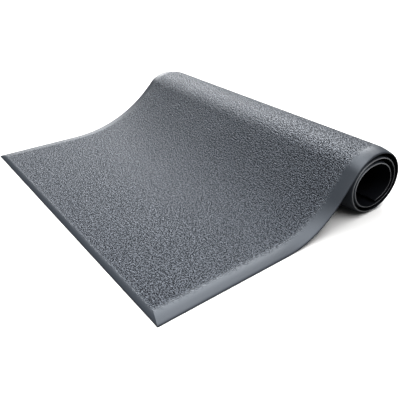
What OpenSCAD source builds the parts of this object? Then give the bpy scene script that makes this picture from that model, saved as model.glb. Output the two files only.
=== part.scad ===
// Anti-fatigue floor mat: a pebbled wear layer bonded to a cushion of closed-cell sponge, with a
// dense, smooth ramp pressed along each edge. It lies as it is shown in a shop: flat in front,
// rising at the back and rolled under itself, so the wear layer is on the outside of the roll.
// X runs across the mat, Y from the front edge to the roll, Z is up from the floor.

/* [Mat] */
// Width across the long edges (36 in)
mat_w = 914.4; // [600:0.1:1220]
// Length when the whole mat lies flat (72 in)
mat_l = 1828.8; // [1500:0.1:1900]
// Thickness of the cushioned field (3/8 in)
mat_t = 9.5; // [7:0.1:12]
// Thickness of the wear layer
wear_t = 1.6; // [0.8:0.1:3]

/* [Edges] */
// Thickness left at the outer edge of the ramps
edge_t = 3; // [2:0.1:5]
// Width of the ramp along each long edge
side_ramp_w = 38; // [20:1:80]
// Width of the ramp along each short edge
end_ramp_w = 14; // [8:1:18]

/* [Lay] */
// Length that lies flat on the floor, from the front edge
flat_l = 289; // [150:1:400]
// Slope at the top of the rise, in degrees
rise_angle = 48; // [35:1:60]
// Length of the straight stretch at the top of the rise
rise_straight = 35; // [1:1:50]

/* [Roll] */
// Mean radius of the underside where the roll starts
roll_r = 91; // [85:0.5:110]
// Mean air gap between the turns
turn_gap = 3.1; // [0.6:0.1:4.5]
// Share of that gap by which each turn lies nearer the front than the one outside it
turn_drift = 0.9; // [0:0.05:0.95]
// How far the roll's own weight spreads it from round
roll_sag = 10.5; // [0:0.5:11]
// Tilt of the spread roll's long axis, down at the back, in degrees
sag_tilt = 17.5; // [0:0.5:20]

/* [Hidden] */

sweep_steps = 8;        // facets in the concave foot of the rise
turn_step = 6;          // degrees of roll to a facet
ramp_steps = 6;         // facets across a ramp
up = 90;                // angle of the wear side's normal where the mat lies flat

// The roll is an even spiral, spread a little by its weight, whose turns lie a little nearer the
// front the further in they are. It is given by its support function: the distance from the
// roll's centre to the tangent whose outward normal lies at this angle. A face that lies higher in
// the sheet has the same function plus its height, so every layer keeps its thickness round the
// roll, and each turn lies one pitch inside the last.
turn_pitch = mat_t + turn_gap;
forward = turn_gap * turn_drift;
start_dir = up + rise_angle;

function radians(degrees) = degrees * PI / 180;
function turns(dir) = (start_dir - dir) / 360;
function support(dir) =
    roll_r - turn_pitch * turns(dir) + roll_sag * cos(2 * (dir + sag_tilt))
    - forward * turns(dir) * cos(dir);
function support_slope(dir) =
    (turn_pitch + forward * cos(dir)) / (2 * PI) - 2 * roll_sag * sin(2 * (dir + sag_tilt))
    + forward * turns(dir) * sin(dir);

// Point of the spiral's underside, seen from the roll's centre
function spiral(dir) =
    support(dir) * [cos(dir), sin(dir)] + support_slope(dir) * [-sin(dir), cos(dir)];

// Length of underside wound up when the mat has turned by this many degrees
function wound(turned) =
    roll_r * radians(turned) - turn_pitch * turned * radians(turned) / 720
    + 1.5 * roll_sag * (sin(2 * (start_dir - turned + sag_tilt)) - sin(2 * (start_dir + sag_tilt)))
    + forward / PI * (cos(start_dir) - cos(start_dir - turned));

// Degrees of turning that wind up a given length, found by halving
function turned_for(length, low = 0, high = 1440, halvings = 30) =
    let (middle = (low + high) / 2)
    halvings == 0 ? middle
    : wound(middle) < length ? turned_for(length, middle, high, halvings - 1)
    : turned_for(length, low, middle, halvings - 1);

// The outermost turn rests on the floor, and the rise runs straight into the top of the roll.
roll_z = support(-up) + mat_t;
start_z = roll_z + spiral(start_dir)[1];
sweep_r = (start_z - rise_straight * sin(rise_angle)) / (1 - cos(rise_angle));
start_y = flat_l + sweep_r * sin(rise_angle) + rise_straight * cos(rise_angle);
roll_y = start_y - spiral(start_dir)[0];
mat_depth = roll_y + support(0) + mat_t;

// The field is wound up as far as its full thickness goes. The ramp at the free end lies straight.
lead_l = flat_l + sweep_r * radians(rise_angle) + rise_straight;
turned = turned_for(mat_l - lead_l - end_ramp_w);
end_dir = start_dir - turned;

// A station is a point of the underside with the angle of its normal: [y, z, dir].
function flat_station(along) = [along, 0, up];
function sweep_station(angle) =
    [flat_l + sweep_r * sin(angle), sweep_r * (1 - cos(angle)), up + angle];
function roll_station(dir) = [roll_y + spiral(dir)[0], roll_z + spiral(dir)[1], dir];
function tail_station(along) =
    let (last = roll_station(end_dir))
    [last[0] + along * sin(end_dir), last[1] - along * cos(end_dir), end_dir];

first_whole = floor((start_dir - 1) / turn_step);
last_whole = ceil((end_dir + 1) / turn_step);

// Stations of the full-thickness field, from the front ramp to the rear ramp
field_stations = concat(
    [flat_station(end_ramp_w), flat_station(flat_l)],
    [for (k = [1:sweep_steps]) sweep_station(rise_angle * k / sweep_steps)],
    [roll_station(start_dir)],
    [for (k = [first_whole:-1:last_whole]) roll_station(k * turn_step)],
    [roll_station(end_dir)]
);

// Point in the YZ plane at a height in the sheet above a station of the underside
function lifted(station, height) =
    [station[0] + height * cos(station[2]), station[1] + height * sin(station[2])];

// Height of a ramp's face at a fraction of the way in from its outer edge. It meets the field
// level, and both kinds of ramp use it, so they meet along the mitres at the corners.
function ramp_height(inward) =
    edge_t + (mat_t - edge_t) * inward * (3 - inward * inward) / 2;
inwards = [for (k = [0:ramp_steps]) k / ramp_steps];
outwards = [for (k = [ramp_steps:-1:0]) k / ramp_steps];

// Stations of a mitre, which runs from the mat's corner to the corner of the field
function front_mitre(inward) = flat_station(inward * end_ramp_w);
function rear_mitre(inward) = tail_station((1 - inward) * end_ramp_w);
function half_width(inward) = mat_w / 2 - inward * side_ramp_w;

// Places a shape so that the mat's own middle stands at the origin
module centred() {
    translate([0, -mat_depth / 2, 0])
        children();
}

// Band of the sheet between two heights, over the whole field
module field_layer(low, high) {
    outline = concat(
        [for (station = field_stations) lifted(station, low)],
        [for (k = [len(field_stations) - 1:-1:0]) lifted(field_stations[k], high)]
    );
    centred()
        translate([-half_width(1), 0, 0])
            rotate([90, 0, 90])
                linear_extrude(2 * half_width(1))
                    polygon(outline);
}

// Solid skin over rings of points that all have the same count
module loft(rings) {
    count = len(rings[0]);
    last = len(rings) - 1;
    walls = [for (ring = [0:last - 1], k = [0:count - 1])
        let (here = ring * count + k, next = ring * count + (k + 1) % count)
        [here, next, next + count, here + count]];
    first_cap = [for (k = [count - 1:-1:0]) k];
    last_cap = [for (k = [0:count - 1]) last * count + k];
    polyhedron([for (ring = rings) each ring], concat([first_cap], walls, [last_cap]));
}

// Cross-section of a long edge's ramp: the underside, then the face from the field outwards. The
// station is a function of how far inwards a point lies, so that a section can follow a mitre.
function side_point(station, inward, height) =
    let (place = lifted(station, height)) [half_width(inward), place[0], place[1]];
function side_section(station_at) = concat(
    [side_point(station_at(0), 0, 0), side_point(station_at(1), 1, 0)],
    [for (inward = outwards) side_point(station_at(inward), inward, ramp_height(inward))]
);

// Ramp along the right long edge, mitred at both ends
module side_ramp() {
    front = side_section(function(inward) front_mitre(inward));
    rear = side_section(function(inward) rear_mitre(inward));
    inner = [for (k = [1:len(field_stations) - 2])
        side_section(function(inward) field_stations[k])];
    centred()
        loft(concat([front], inner, [rear]));
}

// Cross-sections of a short edge's ramp, parallel to the edge and widest there
function end_section(station, inward) =
    let (low = lifted(station, 0), high = lifted(station, ramp_height(inward)))
    let (half = half_width(inward))
    [[half, low[0], low[1]], [-half, low[0], low[1]],
     [-half, high[0], high[1]], [half, high[0], high[1]]];

module wear_layer() {
    color("#565b61")
        field_layer(mat_t - wear_t, mat_t);
}

module sponge_cushion() {
    color("#2b2d30")
        field_layer(0, mat_t - wear_t);
}

module front_ramp() {
    color("#41464e")
        centred()
            loft([for (inward = inwards) end_section(front_mitre(inward), inward)]);
}

module rear_ramp() {
    color("#41464e")
        centred()
            loft([for (inward = outwards) end_section(rear_mitre(inward), inward)]);
}

module left_ramp() {
    color("#666c75")
        mirror([1, 0, 0])
            side_ramp();
}

module right_ramp() {
    color("#666c75")
        side_ramp();
}

wear_layer();
sponge_cushion();
front_ramp();
rear_ramp();
left_ramp();
right_ramp();
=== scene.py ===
"""Looks of the anti-fatigue mat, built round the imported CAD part.

The mat is made here as it is in a works: flat first, as a pebbled wear layer, a sponge and four
ramps, and then laid along its route, flat in front, up the rise and round the roll. One Geometry
Nodes tree does the laying for every piece, so neighbours stay together all the way round.
Lengths are in metres and angles in radians. A place on the flat sheet is (across, along, height):
across from the mat's middle, along from its front edge, and height from its underside.
"""

import math

import bpy
import numpy as np
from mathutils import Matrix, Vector
from mathutils.bvhtree import BVHTree


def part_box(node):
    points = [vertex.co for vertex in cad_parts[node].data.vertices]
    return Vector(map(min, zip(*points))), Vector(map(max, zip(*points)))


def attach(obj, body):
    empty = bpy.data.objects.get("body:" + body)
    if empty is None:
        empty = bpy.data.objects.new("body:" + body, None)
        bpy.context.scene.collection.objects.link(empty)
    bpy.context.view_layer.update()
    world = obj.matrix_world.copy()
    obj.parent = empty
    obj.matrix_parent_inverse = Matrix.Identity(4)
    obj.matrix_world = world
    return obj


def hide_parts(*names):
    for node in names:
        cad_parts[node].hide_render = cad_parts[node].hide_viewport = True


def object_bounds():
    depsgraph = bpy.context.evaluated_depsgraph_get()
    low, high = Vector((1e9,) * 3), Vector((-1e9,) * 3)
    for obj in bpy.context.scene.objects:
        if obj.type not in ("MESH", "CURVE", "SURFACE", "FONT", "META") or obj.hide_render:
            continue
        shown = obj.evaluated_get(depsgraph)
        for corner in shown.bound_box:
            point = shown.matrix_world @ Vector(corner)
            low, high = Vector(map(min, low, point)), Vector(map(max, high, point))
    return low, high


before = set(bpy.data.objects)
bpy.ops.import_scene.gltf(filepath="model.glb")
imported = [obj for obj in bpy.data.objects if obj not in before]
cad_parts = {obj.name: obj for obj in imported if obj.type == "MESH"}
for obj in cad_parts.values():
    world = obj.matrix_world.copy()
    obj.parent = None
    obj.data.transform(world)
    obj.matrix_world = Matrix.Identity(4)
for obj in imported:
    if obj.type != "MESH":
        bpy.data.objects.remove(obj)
cad_low, cad_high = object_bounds()
scene = bpy.context.scene

# --- Image points -----------------------------------------------------------------------------
# Pixels of the photograph, 400 by 400. Edges are the lines that the object just touches.
PHOTO_SIDE = 400
LEFT_X, RIGHT_X, TOP_Y, BOTTOM_Y = 1.2, 398.6, 72.0, 327.3
POINTS = {
    "far_front_corner": (1.2, 156.0),
    "near_front_corner": (160.0, 327.3),
    "near_edge_foot": (310.0, 240.0),
    "near_edge_crest": (378.4, 154.1),
    "free_end": (375.2, 200.2),
    "grain_starts_beside_near_edge": (256.1, 257.2),
    "grain_starts_behind_front_edge": (39.3, 190.2),
}

# --- Camera -----------------------------------------------------------------------------------
SENSOR_W = 0.036
LENS = 0.04092
CAMERA_PLACE = Vector((0.9690, -0.6710, 0.6100))
CAMERA_TURN = math.radians(52.49)
CAMERA_DIP = math.radians(30.40)
MM = 1000  # Blender takes the sensor and the lens in millimetres


def place_camera():
    """The photograph's view, with the lens straight behind the middle of the picture."""
    data = bpy.data.cameras.new("camera")
    data.sensor_fit = "AUTO"
    data.sensor_width = SENSOR_W * MM
    data.lens = LENS * MM
    data.shift_x = data.shift_y = 0
    camera = bpy.data.objects.new("camera", data)
    scene.collection.objects.link(camera)
    camera.rotation_euler = (math.pi / 2 - CAMERA_DIP, 0, CAMERA_TURN)
    camera.location = CAMERA_PLACE
    scene.camera = camera
    bpy.context.view_layer.update()
    return camera


# --- Sizes of the mat -------------------------------------------------------------------------
# From the CAD's boxes
HALF_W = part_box("right_ramp")[1].x
FIELD_HALF_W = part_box("wear_layer")[1].x
END_RAMP_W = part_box("front_ramp")[1].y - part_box("front_ramp")[0].y
MAT_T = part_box("front_ramp")[1].z
SIDE_RAMP_W = HALF_W - FIELD_HALF_W
FRONT_Y = cad_low.y

# As in the CAD, where no box gives them
MAT_L = 1.8288
WEAR_T = 0.0016
EDGE_T = 0.003

# The roll, as in the CAD too
RISE_ANGLE = math.radians(48)
ROLL_R = 0.091
TURN_GAP = 0.0031
TURN_DRIFT = 0.9 * TURN_GAP
ROLL_SAG = 0.0105
SAG_TILT = math.radians(17.5)
TURN_PITCH = MAT_T + TURN_GAP
UP = math.pi / 2  # angle of the wear side's normal where the mat lies flat

# The lays of the two long edges, to either side of the CAD's: the slope at the top of the rise,
# the length of its straight stretch, and how much wider and further back than the CAD's its roll
# is. The near edge stays on the floor for longer, and then rises more steeply.
FAR_LAY = {"rise": math.radians(46.4), "straight": 0.0, "fuller": -0.0012, "onward": 0.0082}
NEAR_LAY = {"rise": math.radians(49.4), "straight": 0.076, "fuller": 0.0, "onward": -0.0088}

# How finely a route is drawn
FLAT_POINTS = 60
FOOT_POINTS = 120
ROLL_STEP = math.radians(0.75)
SPARE = 0.001  # length by which a route runs on past the free end, so that every row lies on it


class Roll:
    """The rolled end, by its support function: the distance from the roll's centre to the tangent
    whose outward normal lies at an angle, as in the CAD."""

    def __init__(self, radius, y):
        self.radius = radius
        self.centre = Vector((y, self.support(-UP) + MAT_T))

    def turns(self, angle):
        """Turns of the roll from its start to this angle."""
        return (UP + RISE_ANGLE - angle) / (2 * math.pi)

    def support(self, angle):
        """Distance from the centre to the underside's tangent."""
        spread = ROLL_SAG * math.cos(2 * (angle + SAG_TILT))
        inward = TURN_PITCH + TURN_DRIFT * math.cos(angle)
        return self.radius + spread - inward * self.turns(angle)

    def support_slope(self, angle):
        """How fast that distance grows with the angle."""
        spreading = -2 * ROLL_SAG * math.sin(2 * (angle + SAG_TILT))
        winding = (TURN_PITCH + TURN_DRIFT * math.cos(angle)) / (2 * math.pi)
        return spreading + winding + TURN_DRIFT * self.turns(angle) * math.sin(angle)

    def point(self, angle):
        """Underside of the sheet where its outward normal lies at an angle, as (y, z)."""
        reach, slope = self.support(angle), self.support_slope(angle)
        turned = Vector((math.cos(angle), math.sin(angle)))
        return self.centre + reach * turned + slope * Vector((-turned.y, turned.x))


def route(rise, straight, fuller, onward):
    """Points of the underside in the YZ plane, from the front edge to the free end, for one of
    the lays."""
    cad_reach = Roll(ROLL_R, 0).support(0) + MAT_T
    roll = Roll(ROLL_R + fuller, cad_high.y - cad_reach + onward)
    start = roll.point(UP + rise)
    foot_r = (start.y - straight * math.sin(rise)) / (1 - math.cos(rise))
    foot_y = start.x - foot_r * math.sin(rise) - straight * math.cos(rise)
    points = [(y, 0.0) for y in np.linspace(FRONT_Y, foot_y, FLAT_POINTS, endpoint=False)]
    points += [
        (foot_y + foot_r * math.sin(angle), foot_r * (1 - math.cos(angle)))
        for angle in np.linspace(0, rise, FOOT_POINTS)
    ]
    angle = UP + rise
    length = sum(math.dist(a, b) for a, b in zip(points, points[1:]))
    while length < MAT_L - END_RAMP_W:
        place = roll.point(angle)
        length += math.dist(points[-1], place)
        points.append(tuple(place))
        angle -= ROLL_STEP
    heading = (Vector(points[-1]) - Vector(points[-2])).normalized()
    points.append(tuple(Vector(points[-1]) + heading * (MAT_L - length + SPARE)))
    return points


def route_curve(name, points):
    """A route as a curve object, for the laying tree to read."""
    data = bpy.data.curves.new(name, "CURVE")
    data.dimensions = "3D"
    line = data.splines.new("POLY")
    line.points.add(len(points) - 1)
    for point, (y, z) in zip(line.points, points):
        point.co = (0, y, z, 1)
    curve = bpy.data.objects.new(name, data)
    scene.collection.objects.link(curve)
    return curve


# --- Node trees as expressions ----------------------------------------------------------------
class Value:
    """A socket's output, which takes part in arithmetic by adding Math nodes."""

    def __init__(self, graph, socket):
        self.graph = graph
        self.socket = socket

    def __add__(self, other):
        return self.graph.maths("ADD", self, other)

    def __sub__(self, other):
        return self.graph.maths("SUBTRACT", self, other)

    def __rsub__(self, other):
        return self.graph.maths("SUBTRACT", other, self)

    def __mul__(self, other):
        return self.graph.maths("MULTIPLY", self, other)

    def __truediv__(self, other):
        return self.graph.maths("DIVIDE", self, other)

    def __rtruediv__(self, other):
        return self.graph.maths("DIVIDE", other, self)

    __radd__ = __add__
    __rmul__ = __mul__


class Graph:
    """A node tree under construction."""

    def __init__(self, tree):
        self.tree = tree
        tree.nodes.clear()

    def node(self, kind, settings=None, values=None, output=0):
        """Adds a node, makes its settings, then fills its sockets with numbers or links. Gives
        back the output asked for, or the node itself where it has none."""
        node = self.tree.nodes.new(kind)
        for name, setting in (settings or {}).items():
            setattr(node, name, setting)
        for name, value in (values or {}).items():
            if isinstance(value, Value):
                self.tree.links.new(value.socket, node.inputs[name])
            else:
                node.inputs[name].default_value = value
        return Value(self, node.outputs[output]) if len(node.outputs) else node

    def maths(self, operation, first, second=0.0):
        return self.node("ShaderNodeMath", {"operation": operation}, {0: first, 1: second})

    def vectors(self, operation, first, second=(0.0, 0.0, 0.0), output=0):
        settings = {"operation": operation}
        return self.node("ShaderNodeVectorMath", settings, {0: first, 1: second}, output)

    def stretched(self, vector, factor):
        settings = {"operation": "SCALE"}
        return self.node("ShaderNodeVectorMath", settings, {0: vector, "Scale": factor})

    def split(self, vector):
        """The three numbers of a vector."""
        return [self.node("ShaderNodeSeparateXYZ", None, {0: vector}, axis) for axis in range(3)]

    def joined(self, x=0.0, y=0.0, z=0.0):
        return self.node("ShaderNodeCombineXYZ", None, {0: x, 1: y, 2: z})

    def step(self, value, low, high, to_low=0.0, to_high=1.0):
        """A soft step: to_low where the value is under low, to_high where it is over high."""
        settings = {"interpolation_type": "SMOOTHSTEP"}
        return self.node(
            "ShaderNodeMapRange", settings, {0: value, 1: low, 2: high, 3: to_low, 4: to_high}
        )

    def noise(self, vector, size, detail=2.0, output=0):
        """Even noise round 0.5, with blobs of about this size. detail adds finer ones."""
        settings = {"noise_dimensions": "3D"}
        values = {"Vector": vector, "Scale": 1 / size, "Detail": detail}
        return self.node("ShaderNodeTexNoise", settings, values, output)

    def cells(self, vector, size, settings):
        """Distances in a pattern of cells of about this size."""
        values = {"Vector": vector, "Scale": 1 / size}
        return self.node("ShaderNodeTexVoronoi", settings, values, "Distance")

    def blend(self, share, first, second, kind="RGBA"):
        """Mixes two colours or, with the kind VECTOR, two vectors. The node has two inputs next to
        each other and an output for each kind."""
        place, output = {"RGBA": (6, 2), "VECTOR": (4, 1)}[kind]
        values = {0: share, place: first, place + 1: second}
        return self.node("ShaderNodeMix", {"data_type": kind}, values, output)


# --- Laying the flat pieces -------------------------------------------------------------------
SHEET = "sheet"                # attribute that keeps a point's place on the flat sheet
SHARP_FROM = math.radians(35)  # angle between faces from which their edge is drawn sharp


def laying_tree():
    """Geometry Nodes that lay a flat piece along the two routes. Each point takes its place from
    the routes at its own distance along, mixed by its place across, and its height above them."""
    tree = bpy.data.node_groups.new("lay_along_route", "GeometryNodeTree")
    sockets = [
        ("Geometry", "NodeSocketGeometry", "INPUT"),
        ("Far route", "NodeSocketObject", "INPUT"),
        ("Near route", "NodeSocketObject", "INPUT"),
        ("Mat width", "NodeSocketFloat", "INPUT"),
        ("Material", "NodeSocketMaterial", "INPUT"),
        ("Geometry", "NodeSocketGeometry", "OUTPUT"),
    ]
    for name, kind, side in sockets:
        tree.interface.new_socket(name, in_out=side, socket_type=kind)
    graph = Graph(tree)
    entry = tree.nodes.new("NodeGroupInput")
    given = {socket.name: Value(graph, socket) for socket in entry.outputs if socket.name}
    place = graph.node("GeometryNodeInputPosition")
    across, along, height = graph.split(place)
    nearness = across / given["Mat width"] + 0.5

    def sampled(route_object, output):
        """Position or tangent of a route at this point's distance along the mat."""
        curve = graph.node("GeometryNodeObjectInfo", None, {"Object": route_object}, "Geometry")
        settings = {"mode": "LENGTH"}
        values = {"Curves": curve, "Length": along}
        return graph.node("GeometryNodeSampleCurve", settings, values, output)

    def mixed(output):
        """The same of both routes, by how near the point lies to the near edge."""
        far, near = sampled(given["Far route"], output), sampled(given["Near route"], output)
        return graph.blend(nearness, far, near, "VECTOR")

    normal = graph.vectors("CROSS_PRODUCT", (1.0, 0.0, 0.0), mixed("Tangent"))
    lift = graph.stretched(graph.vectors("NORMALIZE", normal), height)
    sideways = graph.joined(x=across)
    lying = graph.vectors("ADD", graph.vectors("ADD", mixed("Position"), lift), sideways)

    settings = {"data_type": "FLOAT_VECTOR", "domain": "POINT"}
    values = {"Geometry": given["Geometry"], "Name": SHEET, "Value": place}
    marked = graph.node("GeometryNodeStoreNamedAttribute", settings, values)
    moved = graph.node("GeometryNodeSetPosition", None, {"Geometry": marked, "Position": lying})
    real = graph.node("GeometryNodeRealizeInstances", None, {"Geometry": moved})
    values = {"Geometry": real, "Material": given["Material"]}
    dressed = graph.node("GeometryNodeSetMaterial", None, values)
    graph.node("NodeGroupOutput", None, {0: dressed})
    return tree


def set_input(modifier, name, value):
    """Sets a modifier's input, which goes by the socket's identifier."""
    for item in modifier.node_group.interface.items_tree:
        if item.name == name and item.in_out == "INPUT":
            modifier[item.identifier] = value


def laid(flat, tree, far, near, material):
    """The flat piece as it lies on the floor and in the roll, as a plain mesh."""
    modifier = flat.modifiers.new("lay", "NODES")
    modifier.node_group = tree
    set_input(modifier, "Far route", far)
    set_input(modifier, "Near route", near)
    set_input(modifier, "Mat width", 2 * HALF_W)
    set_input(modifier, "Material", material)
    bpy.context.view_layer.update()
    view = bpy.context.evaluated_depsgraph_get()
    mesh = bpy.data.meshes.new_from_object(flat.evaluated_get(view), depsgraph=view)
    mesh.name = flat.name
    flat.modifiers.remove(modifier)
    flat.data = mesh
    mesh.shade_smooth()
    mesh.set_sharp_from_angle(angle=SHARP_FROM)
    return flat


# --- Flat pieces ------------------------------------------------------------------------------
ROW_STEP = 0.003     # length of the faces along the mat
COLUMN_STEP = 0.015  # width of the faces across the field

# The map that a piece is baked on. The side that shows fills most of the square, cut into tiles,
# and its other side and its walls have a strip each beyond.
BAKE_MAP = "OFBake"
MAIN_SHARE = 0.9
BACK_STRIP = (0.905, 0.965)
WALL_STRIP = (0.97, 0.995)
TILE_INSET = 0.004


def main_map(across, along, folds):
    """Where the faces of the side that shows lie on the map. Each row is a face, and holds how far
    across and along the piece its corners lie. folds is the number of tiles, across and along."""
    tiles_across, tiles_along = folds
    tile_across = np.floor(across.mean(1, keepdims=True) * tiles_across)
    tile_along = np.floor(along.mean(1, keepdims=True) * tiles_along)
    within = 1 - 2 * TILE_INSET
    u = tile_along + TILE_INSET + within * (across * tiles_across - tile_across)
    v = tile_across + TILE_INSET + within * (along * tiles_along - tile_along)
    return u / tiles_along, MAIN_SHARE * v / tiles_across


def back_map(across, along):
    """Where the faces of the other side lie on the map."""
    start, end = BACK_STRIP
    return across, start + (end - start) * along


def wall_map(count):
    """Where the walls round a piece lie on the map, side by side."""
    left, right = np.arange(count) / count, np.arange(1, count + 1) / count
    low, high = (np.full(count, edge) for edge in WALL_STRIP)
    return np.stack([left, right, right, left], axis=1), np.stack([low, low, high, high], axis=1)


def shell(name, across, along, low, high, shows="high", folds=(1, 1)):
    """A closed flat piece between two faces. across, along, low and high are grids, whose rows run
    along the mat and whose columns run across it. shows says which face has the map's main part,
    and folds into how many tiles that is cut, across and along."""
    rows, columns = across.shape
    count = rows * columns
    lower = np.stack([across, along, low], axis=-1).reshape(-1, 3)
    upper = np.stack([across, along, high], axis=-1).reshape(-1, 3)
    index = np.arange(count).reshape(rows, columns)
    here, right = index[:-1, :-1].ravel(), index[:-1, 1:].ravel()
    beyond, diagonal = index[1:, :-1].ravel(), index[1:, 1:].ravel()
    top = np.stack([here, right, diagonal, beyond], axis=1) + count
    bottom = np.stack([here, beyond, diagonal, right], axis=1)
    rim = np.concatenate([index[0], index[1:, -1], index[-1, -2::-1], index[-2:0:-1, 0]])
    following = np.roll(rim, -1)
    walls = np.stack([rim, following, following + count, rim + count], axis=1)

    mesh = bpy.data.meshes.new(name)
    faces = np.concatenate([top, bottom, walls])
    mesh.from_pydata(np.concatenate([lower, upper]).tolist(), [], faces.tolist())

    maps = []
    for side, faces_of_side in (("high", top), ("low", bottom)):
        row, column = np.divmod(faces_of_side % count, columns)
        shares = column / (columns - 1), row / (rows - 1)
        maps.append(main_map(*shares, folds) if shows == side else back_map(*shares))
    maps.append(wall_map(len(walls)))
    corners = np.concatenate([np.stack(side_map, axis=-1) for side_map in maps])
    layer = mesh.uv_layers.new(name=BAKE_MAP)
    layer.data.foreach_set("uv", corners.ravel())
    mesh.validate()
    piece = bpy.data.objects.new(name, mesh)
    scene.collection.objects.link(piece)
    return piece


def steps(start, end, step):
    """Numbers from start to end in even steps, none longer than step."""
    return np.linspace(start, end, max(2, math.ceil((end - start) / step) + 1))


def field_piece(name, start, end, low, high, **map_layout):
    """A length of one layer of the field, between two distances along the mat."""
    across, along = np.meshgrid(
        steps(-FIELD_HALF_W, FIELD_HALF_W, COLUMN_STEP), steps(start, end, ROW_STEP)
    )
    return shell(
        name, across, along, np.full_like(across, low), np.full_like(across, high), **map_layout
    )


# Fractions of the way in across a ramp, closest together at its rounded outer edge
ROUND_SHARE = 0.10
ROUND_POINTS = 6
SLOPE_POINTS = 12
INWARDS = np.concatenate([
    ROUND_SHARE * (1 - np.cos(np.linspace(0, math.pi / 2, ROUND_POINTS))),
    np.linspace(ROUND_SHARE, 1, SLOPE_POINTS)[1:],
])
EDGE_ROUND = 0.0018  # height that the rounding takes off the outer edge's upper corner
FOOT_ROUND = 0.0005  # the same off its lower corner


def rounding(inwards, radius):
    """How far a rounded edge falls back from the square one."""
    left = np.clip(1 - inwards / ROUND_SHARE, 0, 1)
    return radius * (1 - np.sqrt(1 - left**2))


def ramp_high(inwards):
    """Upper face of a ramp: a convex slope that meets the field level, as in the CAD."""
    slope = EDGE_T + (MAT_T - EDGE_T) * inwards * (3 - inwards**2) / 2
    return slope - rounding(inwards, EDGE_ROUND)


def ramp_low(inwards):
    """Underside of a ramp, which lies on the floor but for its rounded corner."""
    return rounding(inwards, FOOT_ROUND)


def side_ramp(name, side):
    """Ramp along a long edge, mitred at both ends. side is -1 for the far edge and 1 for the near
    one."""
    inwards = INWARDS[::-1] if side > 0 else INWARDS
    rows = steps(END_RAMP_W, MAT_L - END_RAMP_W, ROW_STEP)
    share = (rows - rows[0]) / (rows[-1] - rows[0])
    inward, share = np.meshgrid(inwards, share)
    across = side * (HALF_W - inward * SIDE_RAMP_W)
    along = inward * END_RAMP_W + share * (MAT_L - 2 * inward * END_RAMP_W)
    return shell(name, across, along, ramp_low(inward), ramp_high(inward), folds=(1, 4))


def end_ramp(name, at_front):
    """Ramp along a short edge, widest at its outer edge."""
    inwards = INWARDS if at_front else INWARDS[::-1]
    columns = steps(-1, 1, COLUMN_STEP / FIELD_HALF_W)
    share, inward = np.meshgrid(columns, inwards)
    across = share * (HALF_W - inward * SIDE_RAMP_W)
    along = inward * END_RAMP_W
    if not at_front:
        along = MAT_L - along
    return shell(name, across, along, ramp_low(inward), ramp_high(inward), folds=(8, 1))


# --- Materials --------------------------------------------------------------------------------
# Colours, and tints of the gloss
PEBBLE_VINYL = (0.030, 0.034, 0.040, 1.0)
RAMP_VINYL = (0.027, 0.032, 0.040, 1.0)
PAINTED_SHADE_AND_FOAM = (0.005, 0.0055, 0.007, 1.0)  # painted shade in the crevices, and the bare foam below the skin
RIM_PAINTED_HIGHLIGHT = (0.22, 0.225, 0.235, 1.0)     # painted highlight on the outer rim of the tightly bent turns
SPONGE = (0.0018, 0.0018, 0.0019, 1.0)
PEBBLE_GLOSS = (0.72, 0.82, 1.0, 1.0)
RAMP_GLOSS = (0.84, 0.91, 1.0, 1.0)
CLUMP_HIGHLIGHT_PALER = 2.3   # how many times lighter the raised clumps of pebbles are painted than the rest, a painted highlight
SPONGE_PALER = 1.5  # how many times lighter the palest sponge is than the darkest

PEBBLE_ROUGHNESS = 0.27
RAMP_ROUGHNESS = 0.35
SPONGE_ROUGHNESS = 0.9
CREVICE_ROUGHER = 0.25   # added in crevices
UNEVENLY_ROUGHER = 0.04  # added by clouds, and again by specks
PORES_SMOOTHER = 0.1     # taken off away from the middle of a pore

# The pebbles: small cells bent out of shape by noise, with raised clumps over some of them
PEBBLE_SIZE = 0.0040
PEBBLE_HEIGHT = 0.0010
PEBBLE_BEND = 0.0036
BEND_SIZE = 0.0052
CLUMP_SIZE = 0.0040
CLUMP_HEIGHT = 0.0010
PEBBLE_FLANK = (0.02, 0.36)   # distances from a pebble's edge, in pebbles, over which it rises
CREVICE_FLANK = (0.08, 0.24)  # distances from a pebble's edge over which the crevice ends
CLUMP_FLANK = (0.40, 0.60)    # levels of noise over which a clump rises
CLUMP_FILLS = 0.8             # share of the crevices that clumps fill
CREVICE_SHADE = 0.9           # share of a crevice that is painted in shade, black without gloss
SPECK_SIZE = 0.0009
SPECK_HEIGHT = 0.00004
CLOUD_SIZE = 0.12

# Where the pebbles fade into the smooth bands, from the lines at which about half of them is left
SIDE_FADE = (-0.010, 0.012)
END_FADE = (-0.005, 0.007)
RAGGED_SIZE = 0.009   # size of the bays in those lines
RAGGED_DEPTH = 0.016  # depth of the bays beside a long edge
RAGGED_AT_END = 0.4   # share of that depth beside a short edge

SKIN_FROM = (0.0002, 0.0006)  # heights over which the skin starts, from below
RIM_TO = (0.0006, 0.0014)     # distances from a long edge over which its outer rim ends
RIM_HIGHLIGHT_FROM = (0.80, 1.00)      # distances along the mat over which the painted highlight comes onto that rim, in the roll

PORE_SIZE = 0.0012
PORE_DEPTH = 0.0004
PORE_STRENGTH = 0.6
SPONGE_CLOUD_SIZE = 0.03
SPONGE_GLOSS = 0.05


def principled(graph, values):
    return graph.node("ShaderNodeBsdfPrincipled", None, values)


def finish_material(graph, surface):
    graph.node("ShaderNodeOutputMaterial", None, {"Surface": surface})


def on_sheet(graph):
    """The place on the flat sheet, so that a pattern follows the mat round its roll."""
    settings = {"attribute_type": "GEOMETRY", "attribute_name": SHEET}
    return graph.node("ShaderNodeAttribute", settings, None, "Vector")


def paler(colour, times):
    """The colour made this many times lighter."""
    return tuple(times * part for part in colour[:3]) + colour[3:]


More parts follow.
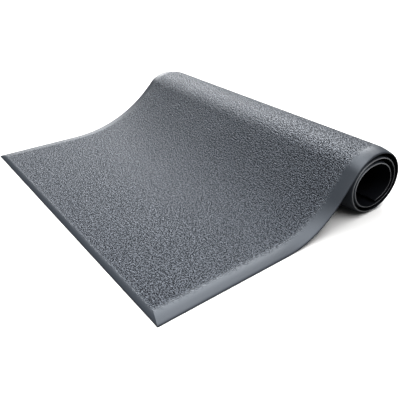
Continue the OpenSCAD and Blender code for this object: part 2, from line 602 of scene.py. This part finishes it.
def grain_share(graph, across, along, side_band, end_band):
    """How much of the pebbles is there: none in the smooth bands along the edges. The bands are
    the distances from the edges at which about half of it is left."""
    bays = graph.noise(graph.joined(across, along), RAGGED_SIZE, 1.0)
    ragged = (bays - 0.5) * RAGGED_DEPTH
    from_side = HALF_W - graph.maths("ABSOLUTE", across) + ragged
    from_end = graph.maths("MINIMUM", along, MAT_L - along) + ragged * RAGGED_AT_END
    beside = graph.step(from_side, *(side_band + fade for fade in SIDE_FADE))
    behind = graph.step(from_end, *(end_band + fade for fade in END_FADE))
    return beside * behind


def vinyl(material, shade, gloss, roughness, side_band, end_band):
    """Vinyl skin, pebbled all over but for a smooth band along the edges, into which the pebbles
    fade. Raised clumps of pebbles are painted paler, a painted highlight, and the outer rim of the
    tightly bent turns has a painted highlight. The crevices between pebbles are painted in shade,
    black without gloss. Almost no light comes back from below the skin, the bare foam."""
    graph = Graph(material.node_tree)
    place = on_sheet(graph)
    across, along, height = graph.split(place)
    flat_place = graph.joined(across, along)
    grain = grain_share(graph, across, along, side_band, end_band)

    bend = graph.stretched(graph.noise(flat_place, BEND_SIZE, 1.0, "Color"), PEBBLE_BEND)
    settings = {"voronoi_dimensions": "2D", "feature": "DISTANCE_TO_EDGE"}
    from_edge = graph.cells(graph.vectors("ADD", flat_place, bend), PEBBLE_SIZE, settings)
    pebble = graph.step(from_edge, *PEBBLE_FLANK)
    clump = graph.step(graph.noise(flat_place, CLUMP_SIZE, 1.0), *CLUMP_FLANK)
    crevice = graph.step(from_edge, *CREVICE_FLANK, 1.0, 0.0) * grain * (1 - CLUMP_FILLS * clump)
    speck = graph.noise(place, SPECK_SIZE, 3.0)
    cloud = graph.noise(place, CLOUD_SIZE)

    # Raised clumps are painted paler: a painted highlight on their tops
    tint = graph.blend(clump * grain, shade, paler(shade, CLUMP_HIGHLIGHT_PALER))
    # Painted highlight on the outer rim of the tightly bent turns, where the roll's edges catch
    # the light
    from_rim = HALF_W - graph.maths("ABSOLUTE", across)
    pale = graph.step(from_rim, *RIM_TO, 1.0, 0.0) * graph.step(along, *RIM_HIGHLIGHT_FROM)
    # Painted shade in the crevices, beneath the rim's painted highlight
    colour = graph.blend(pale, graph.blend(crevice, tint, PAINTED_SHADE_AND_FOAM), RIM_PAINTED_HIGHLIGHT)
    relief = grain * (pebble * PEBBLE_HEIGHT + clump * CLUMP_HEIGHT) + speck * SPECK_HEIGHT
    values = {"Strength": 1.0, "Distance": 1.0, "Height": relief}
    skin = principled(graph, {
        "Base Color": colour,
        "Roughness": roughness + CREVICE_ROUGHER * crevice + UNEVENLY_ROUGHER * (cloud + speck),
        "Specular Tint": gloss,
        "Normal": graph.node("ShaderNodeBump", None, values),
    })
    # Black without gloss: painted shade in the crevices, and the bare foam below the skin
    shade_and_foam_surface = principled(graph, {
        "Base Color": PAINTED_SHADE_AND_FOAM,
        "Roughness": 1.0,
        "Specular IOR Level": 0.0,
    })
    below_skin = graph.step(height, *SKIN_FROM, 1.0, 0.0)
    # Painted shade where there are crevices, bare foam below the skin
    shade_and_foam_share = graph.maths("MAXIMUM", CREVICE_SHADE * crevice, below_skin)
    values = {0: shade_and_foam_share, 1: skin, 2: shade_and_foam_surface}
    finish_material(graph, graph.node("ShaderNodeMixShader", None, values))


def sponge_foam(material):
    """Closed-cell sponge, nearly black, with fine pores."""
    graph = Graph(material.node_tree)
    place = on_sheet(graph)
    pores = graph.cells(place, PORE_SIZE, {"feature": "F1"})
    cloud = graph.noise(place, SPONGE_CLOUD_SIZE)
    values = {"Strength": PORE_STRENGTH, "Distance": PORE_DEPTH, "Height": pores}
    surface = principled(graph, {
        "Base Color": graph.blend(cloud, SPONGE, paler(SPONGE, SPONGE_PALER)),
        "Roughness": SPONGE_ROUGHNESS - PORES_SMOOTHER * pores,
        "Specular IOR Level": SPONGE_GLOSS,
        "Normal": graph.node("ShaderNodeBump", None, values),
    })
    finish_material(graph, surface)


def new_material(name):
    material = bpy.data.materials.new(name)
    material.use_nodes = True
    return material


# --- The photograph's rays --------------------------------------------------------------------
MISS_REACHES = np.linspace(0.5, 2.5, 200)  # distances from the camera at which a miss is tried
HIDDEN_BY = 0.001   # depth of mat in front of a place from which it counts as hidden
RIM_BAND = 0.0005   # distance from the near edge within which a vertex is on its rim


def ray_tree(pieces):
    """All the pieces as one tree for rays."""
    corners, faces = [], []
    for piece in pieces:
        start = len(corners)
        corners += [v.co.copy() for v in piece.data.vertices]
        faces += [[start + k for k in face.vertices] for face in piece.data.polygons]
    return BVHTree.FromPolygons(corners, faces)


def ray_through(camera, point):
    """Start and direction of the ray through a pixel."""
    x, y = point
    data, side = camera.data, PHOTO_SIDE
    direction = Vector((
        x - side / 2 + data.shift_x * side,
        side / 2 - y + data.shift_y * side,
        -side * data.lens / data.sensor_width,
    ))
    return camera.matrix_world.translation, (camera.matrix_world.to_3x3() @ direction).normalized()


def on_surface(camera, tree, point):
    """The place on the mat that shows at a pixel. A miss takes the place nearest the ray."""
    start, direction = ray_through(camera, point)
    place = tree.ray_cast(start, direction)[0]
    if place is None:
        found = [tree.find_nearest(start + direction * reach) for reach in MISS_REACHES]
        place = min(found, key=lambda nearest: nearest[3])[0]
    return place


def pixels_of(camera, places):
    """Where places show in the picture, by the same rays the other way: an array of x and y."""
    data, side = camera.data, PHOTO_SIDE
    view = np.array(camera.matrix_world.inverted())
    seen = np.atleast_2d(places) @ view[:3, :3].T + view[:3, 3]
    scale = -side * data.lens / data.sensor_width / seen[:, 2:]
    middle = side / 2 + np.array((-data.shift_x, data.shift_y)) * side
    return middle + seen[:, :2] * scale * (1, -1)


def shows(camera, tree, place):
    """Whether no part of the mat hides this place of it from the camera."""
    eye = camera.matrix_world.translation
    reach = Vector(place) - eye
    distance = tree.ray_cast(eye, reach.normalized())[3]
    return distance is None or distance > reach.length - HIDDEN_BY


def first_showing(camera, tree, places, rank):
    """Pixel of the first of the places, from the lowest rank up, that shows."""
    order = np.argsort(rank, kind="stable")
    first = next((k for k in order if shows(camera, tree, places[k])), order[0])
    return pixels_of(camera, places[first])[0]


def vertices(*pieces):
    """Places of all the pieces' vertices, as an array."""
    return np.array([vertex.co for piece in pieces for vertex in piece.data.vertices])


# Features that are the finished vertex lying furthest towards a heading, and points that the
# outer rim of the near edge passes through
ENDS = {
    "far_front_corner": ("far_edge_ramp", (-1, -1, 0)),
    "near_front_corner": ("near_edge_ramp", (1, -1, 0)),
    "near_edge_crest": ("near_edge_ramp", (1, 0, 1)),
    "free_end": ("rear_edge_ramp", (1, 0, 0)),
}
ON_NEAR_RIM = ("near_edge_foot",)


def distances_from_points(camera, tree, pieces, grain_places):
    """How far in x and y each thing shows from its image point, in pixels."""
    everything = vertices(*pieces.values())
    seen = pixels_of(camera, everything)
    x, y = seen[:, 0], seen[:, 1]
    off = {
        "left_x": first_showing(camera, tree, everything, x)[0] - LEFT_X,
        "right_x": first_showing(camera, tree, everything, -x)[0] - RIGHT_X,
        "top_y": first_showing(camera, tree, everything, y)[1] - TOP_Y,
        "bottom_y": first_showing(camera, tree, everything, -y)[1] - BOTTOM_Y,
    }
    for name, (piece, heading) in ENDS.items():
        places = vertices(pieces[piece])
        shown_at = first_showing(camera, tree, places, -places @ heading)
        off[name] = list(shown_at - POINTS[name])
    near = vertices(pieces["near_edge_ramp"])
    rim = near[near[:, 0] > HALF_W - RIM_BAND]
    for name in ON_NEAR_RIM:
        away = np.linalg.norm(pixels_of(camera, rim) - POINTS[name], axis=1)
        off[name] = list(first_showing(camera, tree, rim, away) - POINTS[name])
    for name, place in grain_places.items():
        off[name] = list(pixels_of(camera, place)[0] - POINTS[name])
    return off


# --- Studio -----------------------------------------------------------------------------------
FLOOR = (0.93, 0.927, 0.92, 1.0)
FLOOR_BOUNCE = (0.18, 0.18, 0.18, 1.0)  # what the floor gives back to the mat
FLOOR_ROUGHNESS = 0.9
FLOOR_REACH = 30.0


def studio_floor():
    """A plain floor, far wider than any view, pale to the camera and darker to the mat."""
    mesh = bpy.data.meshes.new("floor")
    signs = ((-1, -1), (1, -1), (1, 1), (-1, 1))
    corners = [(x * FLOOR_REACH, y * FLOOR_REACH, 0) for x, y in signs]
    mesh.from_pydata(corners, [], [(0, 1, 2, 3)])
    floor = bpy.data.objects.new("floor", mesh)
    scene.collection.objects.link(floor)
    material = new_material("floor")
    graph = Graph(material.node_tree)
    seen = graph.node("ShaderNodeLightPath", None, None, "Is Camera Ray")
    surface = principled(graph, {
        "Base Color": graph.blend(seen, FLOOR_BOUNCE, FLOOR),
        "Roughness": FLOOR_ROUGHNESS,
        "Specular IOR Level": 0.0,
    })
    finish_material(graph, surface)
    mesh.materials.append(material)


# Each glow of the room: where it is (to the right, behind, up), its brightness, and the cosines
# of the angles from its middle at which it has died away and at which it is full.
GLOWS = {
    "window_behind_left": ((-0.69, 0.51, 0.53), 10.8, 0.82, 0.975),
    "softbox_overhead": ((-0.18, 0.08, 0.98), 4.2, 0.88, 0.99),
    "softbox_front_left": ((-0.40, -0.30, 0.86), 0.5, 0.88, 0.98),
    "fill_from_right": ((0.30, -0.14, 0.94), 4.2, 0.82, 0.97),
}
ROOM_BRIGHTNESS = 0.08
WALL_TOP = (0.10, 0.34)  # heights over which the dark lower wall gives way to the glows
BACKDROP = (1.0, 1.0, 1.0, 1.0)


def studio_light():
    """A dim room with a broad window behind the mat to the left and a softbox overhead. To the
    camera it is a plain white backdrop."""
    world = bpy.data.worlds.new("studio")
    scene.world = world
    world.use_nodes = True
    graph = Graph(world.node_tree)
    direction = graph.node("ShaderNodeTexCoord", None, None, "Generated")
    room = ROOM_BRIGHTNESS
    for middle, brightness, faint, full in GLOWS.values():
        towards = Vector(middle).normalized()[:]
        nearness = graph.vectors("DOT_PRODUCT", direction, towards, "Value")
        room = room + graph.step(nearness, faint, full, 0.0, brightness)
    room = room * graph.step(graph.split(direction)[2], *WALL_TOP)
    seen = graph.node("ShaderNodeLightPath", None, None, "Is Camera Ray")
    values = {"Color": BACKDROP, "Strength": room * (1 - seen) + seen}
    backdrop = graph.node("ShaderNodeBackground", None, values)
    graph.node("ShaderNodeOutputWorld", None, {"Surface": backdrop})


# --- Making the mat ---------------------------------------------------------------------------
camera = place_camera()
far_route = route_curve("far_route", route(**FAR_LAY))
near_route = route_curve("near_route", route(**NEAR_LAY))
laying = laying_tree()
wear_vinyl, ramp_vinyl, sponge = map(new_material, ("wear_vinyl", "ramp_vinyl", "sponge"))

# The wear layer's underside, and its lengths, as distances along the mat, each with its own map
WEAR_LOW = MAT_T - WEAR_T
WEAR_CUTS = {
    "wear_front": (END_RAMP_W, 0.29),
    "wear_foot": (0.29, 0.575),
    "wear_crown": (0.575, 0.86),
    "wear_back": (0.86, 1.165),
    "wear_inner_turns": (1.165, MAT_L - END_RAMP_W),
}

pieces = {}
for name, (start, end) in WEAR_CUTS.items():
    stretch = field_piece(name, start, end, WEAR_LOW, MAT_T, folds=(2, 1))
    pieces[name] = laid(stretch, laying, far_route, near_route, wear_vinyl)
    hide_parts("wear_layer")

cushion = field_piece("cushion", END_RAMP_W, MAT_L - END_RAMP_W, 0, WEAR_LOW, shows="low")
pieces["cushion"] = laid(cushion, laying, far_route, near_route, sponge)
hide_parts("sponge_cushion")

ramps = {
    "far_edge_ramp": (side_ramp("far_edge_ramp", -1), "left_ramp"),
    "near_edge_ramp": (side_ramp("near_edge_ramp", 1), "right_ramp"),
    "front_edge_ramp": (end_ramp("front_edge_ramp", True), "front_ramp"),
    "rear_edge_ramp": (end_ramp("rear_edge_ramp", False), "rear_ramp"),
}
for name, (ramp, node) in ramps.items():
    pieces[name] = laid(ramp, laying, far_route, near_route, ramp_vinyl)
    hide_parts(node)

for helper in (far_route, near_route):
    bpy.data.objects.remove(helper)

mat_tree = ray_tree(pieces.values())
grain_places = {
    name: on_surface(camera, mat_tree, point)
    for name, point in POINTS.items()
    if name.startswith("grain_starts")
}
side_band = HALF_W - grain_places["grain_starts_beside_near_edge"].x
end_band = grain_places["grain_starts_behind_front_edge"].y - FRONT_Y
vinyl(wear_vinyl, PEBBLE_VINYL, PEBBLE_GLOSS, PEBBLE_ROUGHNESS, side_band, end_band)
vinyl(ramp_vinyl, RAMP_VINYL, RAMP_GLOSS, RAMP_ROUGHNESS, side_band, end_band)
sponge_foam(sponge)

for piece in pieces.values():
    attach(piece, "root")

studio_floor()
studio_light()
scene.view_settings.view_transform = "Standard"

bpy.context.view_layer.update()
distances_from_points(camera, mat_tree, pieces, grain_places)
